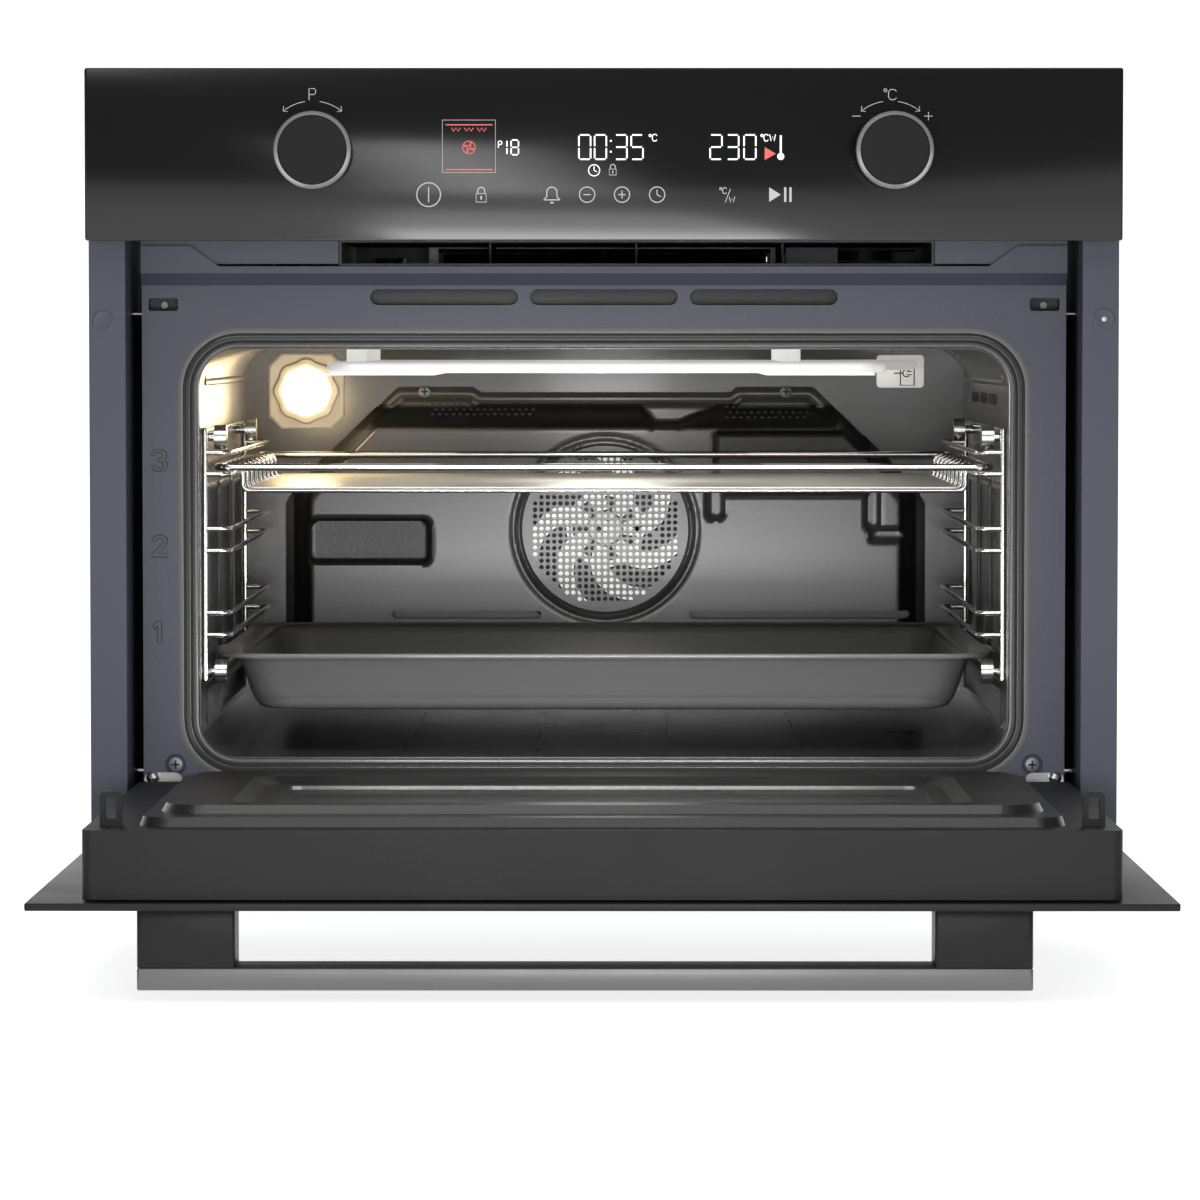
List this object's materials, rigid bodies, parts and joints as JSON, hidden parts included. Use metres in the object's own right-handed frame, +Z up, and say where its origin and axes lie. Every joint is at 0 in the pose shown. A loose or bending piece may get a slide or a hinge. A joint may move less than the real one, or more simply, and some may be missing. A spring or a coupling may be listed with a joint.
{
  "type": "wall oven",
  "caption": "Built-in oven with a drop-down glass door, sliding wire shelf and deep tray, two rotary selectors, a hot-air fan and a cooling blower above the chamber.",
  "frame": {"origin": "middle of the front edge of the base pan's underside, in the plane of the cabinet's front", "axes": "+X to the right as the cook faces the oven, +Y into the niche, +Z up"},
  "size_m": [0.595, 0.9051, 0.4933],
  "materials": {
    "black_glass": "polished black glass, printed on the back",
    "clear_glass": "heat-resistant clear glass",
    "lamp_glass": "ribbed frosted lamp glass",
    "grey_enamel": "satin dark blue-grey coat",
    "cavity_enamel": "smooth grey-black vitreous enamel",
    "black_enamel": "glossy black vitreous enamel",
    "galvanised": "zinc-coated sheet with faint spangle",
    "stainless": "satin stainless steel",
    "chrome_wire": "bright chromed wire",
    "bright_steel": "polished turned steel",
    "heater_tube": "heat-stained steel tube",
    "pale_sheet": "pale reflective sheet",
    "handle_metal": "dark satin anodised metal",
    "knob_metal": "dark metal face with a bright bevel",
    "black_plastic": "moulded black plastic",
    "display_plastic": "dark display window",
    "board_green": "circuit board",
    "ceramic": "glazed white ceramic",
    "mineral_wool": "fibrous mineral wool",
    "motor_steel": "laminated steel with black windings"
  },
  "bodies": {
    "carcass": {"air_outlet_duct": "black_plastic", "anchor_plate": "ceramic", "base_pan": "galvanised", "blower_housing": "galvanised", "blower_motor": "motor_steel", "cable_gland": "black_plastic", "casing_screws": "stainless", "cavity_baffle": "cavity_enamel", "cavity_liner": "cavity_enamel", "compartment_plate": "galvanised", "display_module": "display_plastic", "element_brackets": "stainless", "encoders": "black_plastic", "fan_grille": "cavity_enamel", "fan_motor": "motor_steel", "front_frame": "grey_enamel", "front_screws": "stainless", "grill_element": "heater_tube", "hinge_brackets": "stainless", "hinge_covers": "bright_steel", "insulation": "mineral_wool", "inverter": "board_green", "lamp_glass": "lamp_glass", "lamp_plate": "stainless", "lamp_socket": "ceramic", "latch_blocks": "black_plastic", "magnetron": "galvanised", "opening_frame": "cavity_enamel", "outer_casing": "galvanised", "panel_bracket": "grey_enamel", "panel_glass": "black_glass", "panel_housing": "black_plastic", "power_board": "board_green", "rack_bushes": "bright_steel", "rear_panel": "galvanised", "ring_element": "heater_tube", "side_flanges": "grey_enamel", "side_racks": "chrome_wire", "touch_board": "board_green", "waveguide": "galvanised"},
    "door": {"door_glass": "black_glass", "door_body": "black_enamel", "door_inner_panel": "black_enamel", "inner_glass": "clear_glass", "microwave_screen": "stainless", "middle_glass": "clear_glass", "handle_bar": "handle_metal", "handle_posts": "handle_metal", "hinge_blocks": "stainless", "hinge_springs": "stainless", "latch_hooks": "stainless"},
    "left_knob": {"knob_left": "knob_metal"},
    "right_knob": {"knob_right": "knob_metal"},
    "wire_shelf": {"wire_rack": "chrome_wire", "baking_sheet": "pale_sheet"},
    "tray": {"deep_tray": "black_enamel"},
    "fan_wheel": {"fan_impeller": "stainless"},
    "blower": {"blower_rotor": "stainless"},
    "left_plunger": {"latch_plunger_left": "bright_steel"},
    "right_plunger": {"latch_plunger_right": "bright_steel"}
  },
  "joints": [
    {"name": "door_hinge", "type": "hinge", "parent": "carcass", "child": "door", "pos_m": [0, -0.013, 0.008], "axis": [-1, 0, 0], "range_deg": [0, 89.53]},
    {"name": "left_knob_turn", "type": "hinge", "parent": "carcass", "child": "left_knob", "pos_m": [-0.1662, -0.022, 0.4035], "axis": [0, 1, 0], "continuous": true},
    {"name": "right_knob_turn", "type": "hinge", "parent": "carcass", "child": "right_knob", "pos_m": [0.1662, -0.022, 0.4035], "axis": [0, 1, 0], "continuous": true},
    {"name": "wire_shelf_slide", "type": "slide", "parent": "carcass", "child": "wire_shelf", "axis": [0, 1, 0], "range_m": [-0.28, 0]},
    {"name": "tray_slide", "type": "slide", "parent": "carcass", "child": "tray", "axis": [0, 1, 0], "range_m": [-0.28, 0]},
    {"name": "fan_turn", "type": "hinge", "parent": "carcass", "child": "fan_wheel", "pos_m": [0, 0.42, 0.1717], "axis": [0, 1, 0], "continuous": true},
    {"name": "blower_turn", "type": "hinge", "parent": "carcass", "child": "blower", "pos_m": [0, 0.24, 0.352], "axis": [1, 0, 0], "continuous": true},
    {"name": "left_plunger_slide", "type": "slide", "parent": "carcass", "child": "left_plunger", "axis": [0, 1, 0], "range_m": [0, 0.0025], "stiffness_N_per_m": 300, "springref_m": -0.002},
    {"name": "right_plunger_slide", "type": "slide", "parent": "carcass", "child": "right_plunger", "axis": [0, 1, 0], "range_m": [0, 0.0025], "stiffness_N_per_m": 300, "springref_m": -0.002}
  ]
}
